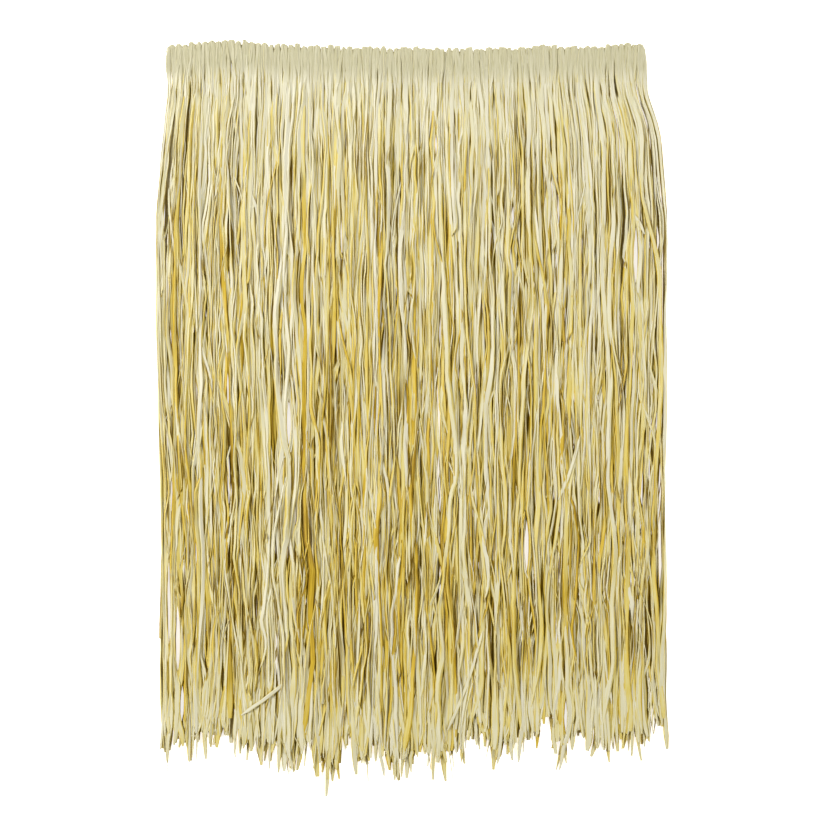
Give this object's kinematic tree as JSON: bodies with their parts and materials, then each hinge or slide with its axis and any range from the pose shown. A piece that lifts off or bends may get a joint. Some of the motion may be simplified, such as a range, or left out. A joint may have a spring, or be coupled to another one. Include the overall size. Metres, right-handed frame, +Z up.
{
  "type": "grass skirt",
  "caption": "Raffia grass skirt laid flat: strands folded over a waist cord in a row of loops, sewn flat as a heading, hanging below as a ragged fringe.",
  "frame": {"origin": "middle of the laid skirt's box across and along, on the surface it lies on", "axes": "+Y from hem to waist, +X to the right seen from above with the waist at the top, +Z up from the surface"},
  "size_m": [0.5442, 0.8034, 0.0119],
  "materials": {
    "raffia_heading": "dried raffia palm leaf strands, folded, packed tight and sewn flat, pale khaki cream, matte with a faint wax sheen",
    "raffia_fringe": "dried raffia palm leaf strands, flat crinkled ribbons in cream, straw and warm amber, matte to satin along the grain",
    "waist_cord": "twisted natural raffia cord, matte"
  },
  "bodies": {
    "root": {"heading_front": "raffia_heading", "heading_back": "raffia_heading", "waist_cord": "waist_cord", "fringe_front_01": "raffia_fringe", "fringe_front_02": "raffia_fringe", "fringe_front_03": "raffia_fringe", "fringe_front_04": "raffia_fringe", "fringe_front_05": "raffia_fringe", "fringe_front_06": "raffia_fringe", "fringe_front_07": "raffia_fringe", "fringe_front_08": "raffia_fringe", "fringe_front_09": "raffia_fringe", "fringe_front_10": "raffia_fringe", "fringe_front_11": "raffia_fringe", "fringe_front_12": "raffia_fringe", "fringe_back_01": "raffia_fringe", "fringe_back_02": "raffia_fringe", "fringe_back_03": "raffia_fringe", "fringe_back_04": "raffia_fringe", "fringe_back_05": "raffia_fringe", "fringe_back_06": "raffia_fringe", "fringe_back_07": "raffia_fringe", "fringe_back_08": "raffia_fringe", "fringe_back_09": "raffia_fringe", "fringe_back_10": "raffia_fringe", "fringe_back_11": "raffia_fringe", "fringe_back_12": "raffia_fringe"}
  },
  "joints": []
}
